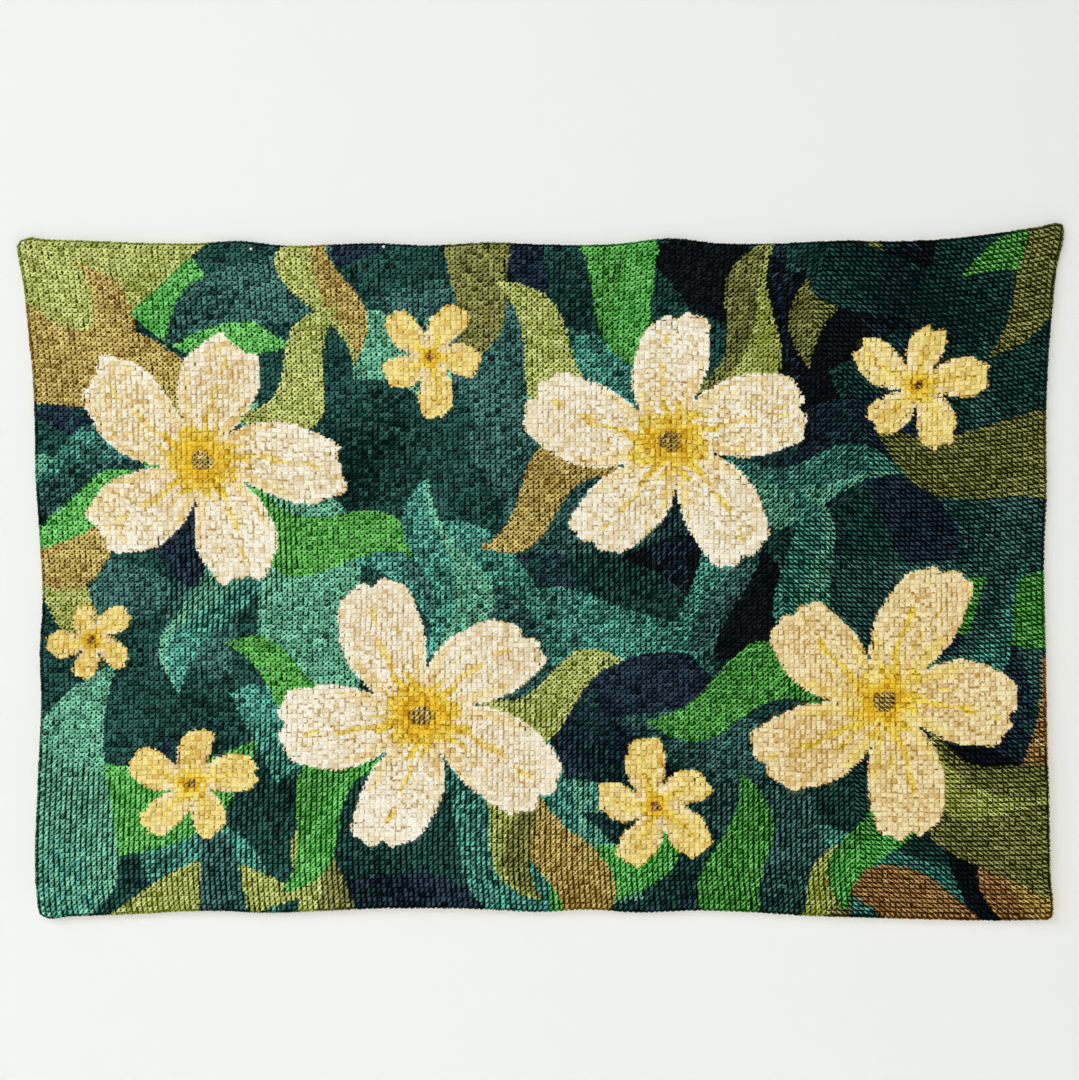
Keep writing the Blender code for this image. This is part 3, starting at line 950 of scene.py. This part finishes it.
def wool_material(wool):
    """Rug wool: mixed by its painted shade from a shaded colour between the stitches to a lit one
    on top, and fluffed by fine noise.
    """
    material, shader, start = new_surface(f"{wool.name} wool")
    shade = start.attribute("shade", 2)
    fibre = start.place().noise(FIBRE_SCALE, Detail=1.0)
    share = start.node(
        "ShaderNodeMath",
        {"operation": "ADD", "use_clamp": True},
        {0: shade, 1: (fibre - 0.5) * 0.5},
    )
    colour = start.mixed(share, opaque(wool.deep), opaque(wool.lit))
    bump = fibre.bump(0.4, Strength=0.6)
    feed(shader, Base_Color=colour, Normal=bump, Roughness=fibre * 0.2 + 0.8)
    shader.inputs["Specular IOR Level"].default_value = DULL_GLOSS
    return material


Course = namedtuple("Course", "rings turn light laid low high")
# The painted light on the quarters of other wools in a stitch worked as a pale one is cut to this
# share
FAR_LIGHT_SHARE = 0.5  # on the quarters of other wools in a stitch that is worked as a pale one


def split_courses(course):
    """The whole arms of a course, and the two half arms of its stitches on outlines.

    An arm that turns up to the right has its halves in the lower left and the upper
    right quarter, and one that turns down has them in the other two.
    """
    first, before, after, last = course.rings
    halves = {
        -1: (first, before, before._replace(along=0.0)),
        1: (after._replace(along=0.0), after, last),
    }
    courses = [course._replace(laid=np.where(whole, course.laid, -1))]
    for side, rings in halves.items():
        laid = np.where(course.turn > 0, quarters[side, side], quarters[side, -side])
        far = pale & (laid > TONE["gold"])
        light = course.light * (1 - (1 - FAR_LIGHT_SHARE) * far)
        laid = np.where(whole, -1, laid)
        courses.append(course._replace(rings=rings, light=light, laid=laid))
    return courses


COURSES = (
    *split_courses(Course(TOP_RINGS, lean, np.ones(count), top_wool, 0.5, 1.0)),
    *split_courses(Course(UNDER_RINGS, -lean, under, under_wool, 0.0, 0.5)),
)


def work_wool(number, wool):
    """All arms of one wool as one piece: its top arms, then its under arms."""
    points, faces, shades, places, made = [], [], [], [], 0
    for rings, turn, light, laid, low, high in COURSES:
        mine = laid == number
        across, down, height, shade = arms(mine, turn, rings, light)
        points.append(on_cloth(across, down, height).reshape(-1, 3))
        strip = strip_faces(len(rings), len(RIBS))
        first = made + len(rings) * len(RIBS) * np.arange(mine.sum())
        faces.append((strip + first[:, None, None]).reshape(-1, 4))
        shades.append(shade.ravel())
        places.append(chart(across, down, low, high))
        made += len(points[-1])
    piece = mesh_piece(f"wool_{wool.name}", *map(np.concatenate, (points, faces, places)))
    add_shares(piece, "shade", np.concatenate(shades))
    sewn_on(piece, wool_material(wool))
    return piece


worked = [work_wool(number, wool) for number, wool in enumerate(WOOLS)]

# Reverse. On the back each stitch shows as one short upright bar of its own wool,
# between the turned hems. Each bar is a low hipped ridge with its rim in the canvas.
BACK_INSET = 22.0
BAR_HALF_WIDTH = 2.5
BAR_HALF_LENGTH = 2.3
BAR_BASE = -2.5
BAR_TOP = -3.8
BAR_POINTS = (
    (-1.0, -1.0, 0.0),
    (1.0, -1.0, 0.0),
    (1.0, 1.0, 0.0),
    (-1.0, 1.0, 0.0),
    (0.0, -0.55, 1.0),
    (0.0, 0.55, 1.0),
)
BAR_FACES = ((0, 4, 1), (1, 4, 5), (1, 5, 2), (2, 5, 3), (3, 5, 4), (3, 4, 0))
BAR_UNEVEN = 0.12
BAR_TILT = 0.3
BAR_RISE = (-0.1, 0.25)
# Painted light on the bars: painted shade at a bar's rim, painted highlight on its ridge
RIM_SHARE = 0.15  # of the lit colour in a bar's rim
RIDGE_SHARE = 0.5  # and so much more on its ridge


def reverse_bars():
    """One bar for each stitch between the hems: BAR_POINTS, scaled, tilted and raised."""
    edge = np.minimum.reduce(
        [stitch_across, CLOTH_WIDTH - stitch_across, stitch_down, CLOTH_HEIGHT - stitch_down]
    )
    mine = edge > BACK_INSET
    count = mine.sum()
    aside, along, rise = np.array(BAR_POINTS).T[:, None, :]
    width = BAR_HALF_WIDTH * chance.normal(1, BAR_UNEVEN, (count, 1))
    tilt = chance.normal(0, BAR_TILT, (count, 1))
    across = stitch_across[mine][:, None] + width * aside + tilt * along
    down = stitch_down[mine][:, None] - BAR_HALF_LENGTH * along
    top = BAR_TOP + chance.uniform(*BAR_RISE, (count, 1))
    height = BAR_BASE + (top - BAR_BASE) * rise
    points = on_cloth(across, down, height).reshape(-1, 3)
    faces = np.array(BAR_FACES) + len(BAR_POINTS) * np.arange(count)[:, None, None]
    piece = mesh_piece("reverse_bars", points, faces.reshape(-1, 3), chart(across, down, 0, 1))
    lit = np.array([linear(wool.lit) for wool in WOOLS])[top_wool[mine]]
    deep = np.array([linear(wool.deep) for wool in WOOLS])[top_wool[mine]]
    # Each bar is painted from its wool's shaded colour at the rim to a painted highlight on its
    # ridge
    share = (RIM_SHARE + RIDGE_SHARE * rise)[:, :, None]
    colours = deep[:, None, :] * (1 - share) + lit[:, None, :] * share
    add_colours(piece, "yarn_and_shade", colours.reshape(-1, 3))
    return piece


def reverse_material():
    """The wools' colours with the bars' painted shade and highlight, carried by the bars, with the
    same fluff.
    """
    material, shader, start = new_surface("reverse wool")
    yarn_and_shade = start.attribute("yarn_and_shade", 0)
    fibre = start.place().noise(FIBRE_SCALE)
    colour = start.mixed(fibre * 0.5, yarn_and_shade, (0.0, 0.0, 0.0, 1.0))
    feed(shader, Base_Color=colour, Normal=fibre.bump(0.3), Roughness=fibre * 0.2 + 0.8)
    shader.inputs["Specular IOR Level"].default_value = 0.2
    return material


reverse = reverse_bars()
sewn_on(reverse, reverse_material())

# Hem stitches. The turned hem is caught down behind with slanted slip stitches of
# pale cotton thread, which run over its cut edge into the reverse of the wool.
HEM_STITCH_STEP = 12.0
THREAD_HALF_WIDTH = 0.55
THREAD_RUN = ((-5.0, 5.2), (-3.2, 5.9), (0.0, 5.9), (3.4, 4.3), (5.2, 3.4))  # past the hem, depth
THREAD_ROUND = ((-1.0, 0.0), (-0.5, -0.4), (0.5, -0.4), (1.0, 0.0))  # aside, proud
THREAD_SLANT = 0.45
THREAD_STRAY = 0.8  # along the hem
SLANT_STRAY = 0.08
THREAD_DEEP = (176, 164, 136)
THREAD_LIT = (238, 230, 208)


def hem_stitches():
    """Threads at even steps along the hem, four points round by five along each.

    A thread crosses the hem's edge at a slant, and its depth follows THREAD_RUN.
    The four sides are the top, the right, the foot and the left.
    """
    spans = (CLOTH_WIDTH, CLOTH_HEIGHT)
    run, depth = np.array(THREAD_RUN).T[:, None, :, None]
    aside, proud = np.array(THREAD_ROUND).T[:, None, None, :]
    rounds = []
    for side in range(4):
        span = spans[side % 2]
        count = int((span - 2 * HEM_WIDTH) / HEM_STITCH_STEP)
        start = HEM_WIDTH + (span - 2 * HEM_WIDTH) * (np.arange(count) + 0.5) / count
        start = (start + chance.normal(0, THREAD_STRAY, count))[:, None, None]
        slant = THREAD_SLANT + chance.normal(0, SLANT_STRAY, count)[:, None, None]
        along = start + slant * run + THREAD_HALF_WIDTH * aside
        inward = np.broadcast_to(HEM_WIDTH + run, along.shape)
        height = np.broadcast_to(proud - depth, along.shape)
        if side % 2 == 0:
            down = inward if side == 0 else CLOTH_HEIGHT - inward
            rounds.append((along, down, height, side == 2))
        else:
            across = CLOTH_WIDTH - inward if side == 1 else inward
            rounds.append((across, along, height, side == 3))
    points, faces, places, made = [], [], [], 0
    for across, down, height, turned in rounds:
        points.append(on_cloth(across, down, height).reshape(-1, 3))
        strip = strip_faces(len(THREAD_RUN), len(THREAD_ROUND))
        strip = strip[:, ::-1] if turned else strip
        each = len(THREAD_RUN) * len(THREAD_ROUND)
        first = made + each * np.arange(len(across))
        faces.append((strip + first[:, None, None]).reshape(-1, 4))
        places.append(chart(across, down, 0, 1))
        made += len(points[-1])
    return mesh_piece("hem_stitches", *map(np.concatenate, (points, faces, places)))


def thread_material():
    material, shader, start = new_surface("cotton thread")
    twist = start.place().noise(1600.0)
    colour = start.mixed(twist, opaque(THREAD_DEEP), opaque(THREAD_LIT))
    feed(shader, Base_Color=colour, Normal=twist.bump(0.1), Roughness=twist * 0.2 + 0.6)
    return material


hem_threads = hem_stitches()
sewn_on(hem_threads, thread_material())

# Nails. Three small bright steel nails with domed heads go through the top hem
# into the wall. Their shape is the frame's own, and only their finish is set here.
STEEL_WORN = (190, 188, 182)
STEEL_BRIGHT = (246, 245, 240)


def nail_material():
    material, shader, start = new_surface("bright nail steel")
    wear = start.place().noise(1800.0)
    colour = start.mixed(wear, opaque(STEEL_WORN), opaque(STEEL_BRIGHT))
    feed(shader, Base_Color=colour, Normal=wear.bump(0.05), Roughness=wear * 0.25 + 0.25)
    shader.inputs["Metallic"].default_value = 0.6
    return material


nail_steel = nail_material()
for name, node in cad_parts.items():
    if name.startswith("nail"):
        node.data.materials.clear()
        node.data.materials.append(nail_steel)

# Room. A pale wall behind the cloth, which shows only from its front, a pale
# floor, soft light from the upper left, and the camera straight in front.
PICTURE_HEIGHT = 1.080  # metres of wall in the picture's 1080 rows
CAMERA_DISTANCE = 2.6
CAMERA_TARGET = Vector((-0.0015, 0.0, -0.297))
SENSOR = 36.0
FLOOR_Z = -1.75
FLOOR_REACH = 5
WALL_REACH = 4
WALL_TOP = 2


def flat_backdrop(name, corners, material):
    mesh = bpy.data.meshes.new(name)
    mesh.from_pydata(corners, [], [(0, 1, 2, 3)])
    backdrop = bpy.data.objects.new(name, mesh)
    mesh.materials.append(material)
    bpy.context.scene.collection.objects.link(backdrop)
    return backdrop


def paint(name, colour):
    material, shader, start = new_surface(name)
    shader.inputs["Base Color"].default_value = opaque(colour)
    shader.inputs["Roughness"].default_value = 0.9
    shader.inputs["Specular IOR Level"].default_value = 0.1
    return material, start


def wall_paint():
    """Pale paint on the wall's front. Its back lets the view through."""
    material, start = paint("wall paint", (239, 240, 239))
    tree = material.node_tree
    behind = start.node("ShaderNodeNewGeometry", {}, {}, output=6)
    clear = start.node("ShaderNodeBsdfTransparent", {}, {})
    front = Wire(tree, tree.nodes["Principled BSDF"].outputs[0])
    either = start.node("ShaderNodeMixShader", {}, {0: behind, 1: front, 2: clear})
    tree.links.new(either.socket, tree.nodes["Material Output"].inputs["Surface"])
    return material


wall_corners = [
    (-WALL_REACH, 0, FLOOR_Z),
    (WALL_REACH, 0, FLOOR_Z),
    (WALL_REACH, 0, WALL_TOP),
    (-WALL_REACH, 0, WALL_TOP),
]
wall = flat_backdrop("wall", wall_corners, wall_paint())
wall.visible_shadow = False
floor_corners = [
    (-WALL_REACH, -FLOOR_REACH, FLOOR_Z),
    (WALL_REACH, -FLOOR_REACH, FLOOR_Z),
    (WALL_REACH, FLOOR_REACH, FLOOR_Z),
    (-WALL_REACH, FLOOR_REACH, FLOOR_Z),
]
flat_backdrop("floor", floor_corners, paint("floor paint", (232, 232, 230))[0])


def area_light(name, place, size, power, colour=(1.0, 1.0, 1.0)):
    """A square light that faces the middle of the cloth."""
    data = bpy.data.lights.new(name, "AREA")
    data.size = size
    data.energy = power
    data.color = colour
    light = bpy.data.objects.new(name, data)
    light.location = place
    light.rotation_mode = "QUATERNION"
    light.rotation_quaternion = (CAMERA_TARGET - Vector(place)).to_track_quat("-Z", "Y")
    bpy.context.scene.collection.objects.link(light)


area_light("window light", (-3.6, -3.4, 1.5), 3.0, 72, (0.88, 0.94, 1.0))
area_light("front light", (-0.7, -3.8, 0.4), 3.0, 70, (1.0, 0.965, 0.9))
area_light("back light", (1.8, 2.6, 1.4), 1.6, 200)

world = bpy.data.worlds.new("pale room")
world.use_nodes = True
sky = world.node_tree.nodes["Background"]
sky.inputs["Color"].default_value = (0.94, 0.97, 1.0, 1.0)
sky.inputs["Strength"].default_value = 0.335
bpy.context.scene.world = world
bpy.context.scene.view_settings.view_transform = "Standard"

camera_data = bpy.data.cameras.new("camera")
camera_data.sensor_width = SENSOR
camera_data.lens = SENSOR * CAMERA_DISTANCE / PICTURE_HEIGHT
camera = bpy.data.objects.new("camera", camera_data)
camera.location = CAMERA_TARGET + Vector((0, -CAMERA_DISTANCE, 0))
camera.rotation_euler = (np.pi / 2, 0, 0)
bpy.context.scene.collection.objects.link(camera)
bpy.context.scene.camera = camera
